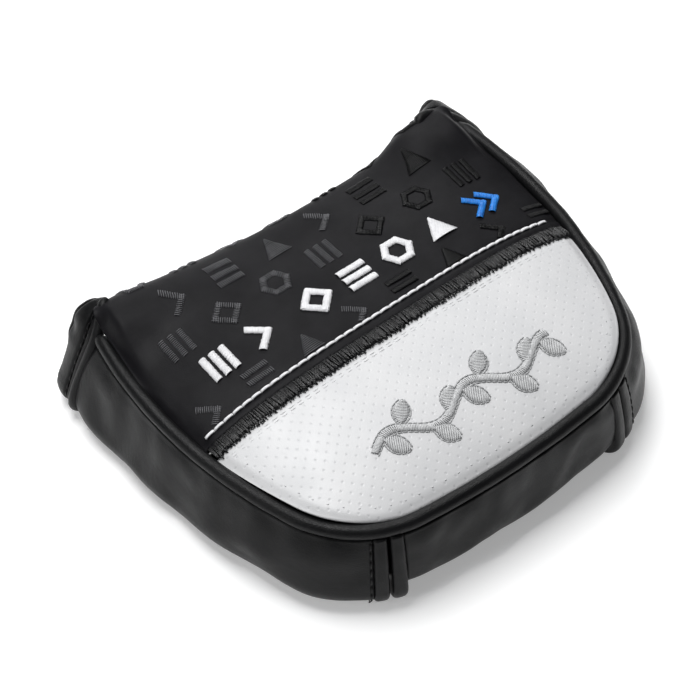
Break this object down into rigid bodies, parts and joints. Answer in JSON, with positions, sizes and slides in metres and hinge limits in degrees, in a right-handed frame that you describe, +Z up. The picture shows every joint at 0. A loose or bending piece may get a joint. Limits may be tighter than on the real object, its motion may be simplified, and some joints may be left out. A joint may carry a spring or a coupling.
{
  "type": "putter head cover",
  "caption": "Padded mallet putter head cover with piped embroidered panel, leather gussets, folding front flap and magnetic closure tongue.",
  "frame": {"origin": "middle of the cover's plan, on the floor it lies on", "axes": "+X toward the right end (heel to toe), +Y toward the folded front edge, +Z up out of the decorated panel"},
  "size_m": [0.136, 0.1084, 0.0335],
  "materials": {
    "black_fabric": "fine satin-faced woven polyester, soft sheen",
    "white_leather": "perforated smooth synthetic leather, satin",
    "black_leather": "fine-grained synthetic leather, satin",
    "black_thread": "dense zigzag satin stitch",
    "white_thread": "satin-stitched thread, slight gloss",
    "blue_thread": "satin-stitched thread, slight gloss",
    "tonal_thread": "satin-stitched thread, tone on tone",
    "grey_thread": "satin-stitched thread, slight gloss",
    "foam": "open-cell padding foam",
    "fleece": "short brushed pile",
    "cord": "twisted filler cord and woven tape",
    "board": "flexible sheet stiffener",
    "magnet": "plated disc"
  },
  "bodies": {
    "shell": {"face_fabric": "black_fabric", "white_panel": "white_leather", "satin_band": "black_thread", "contrast_stitch": "white_thread", "motifs_white": "white_thread", "motif_blue": "blue_thread", "motifs_tonal": "tonal_thread", "emblem_grey": "grey_thread", "panel_foam": "foam", "panel_lining": "fleece", "piping_cover": "black_leather", "piping_cord": "cord", "seam_tape": "cord", "rear_gusset": "black_leather", "rear_gusset_lining": "fleece", "base_leather": "black_leather", "base_board": "board", "base_lining": "fleece", "base_keepers": "magnet", "left_gusset": "black_leather", "left_gusset_lining": "fleece", "left_turned_edge": "black_leather", "left_rear_binding": "black_leather", "left_collar": "black_leather", "left_collar_lining": "fleece", "left_collar_roll": "black_leather", "right_gusset": "black_leather", "right_gusset_lining": "fleece", "right_turned_edge": "black_leather", "right_rear_binding": "black_leather", "right_collar": "black_leather", "right_collar_lining": "fleece", "right_collar_roll": "black_leather"},
    "front_flap": {"flap_fabric": "black_fabric", "flap_foam": "foam", "flap_lining": "fleece", "flap_hem": "black_leather"},
    "closure_tongue": {"tongue_leather": "black_leather", "tongue_board": "board", "tongue_lining": "fleece", "tongue_magnets": "magnet"}
  },
  "joints": [
    {"name": "front_fold", "type": "hinge", "parent": "shell", "child": "front_flap", "pos_m": [0, 0.04276, 0.0232], "axis": [1, 0, 0], "range_deg": [0, 110]},
    {"name": "tongue_fold", "type": "hinge", "parent": "front_flap", "child": "closure_tongue", "pos_m": [0, 0.04496, 0.0027], "axis": [1, 0, 0], "range_deg": [0, 100]}
  ]
}
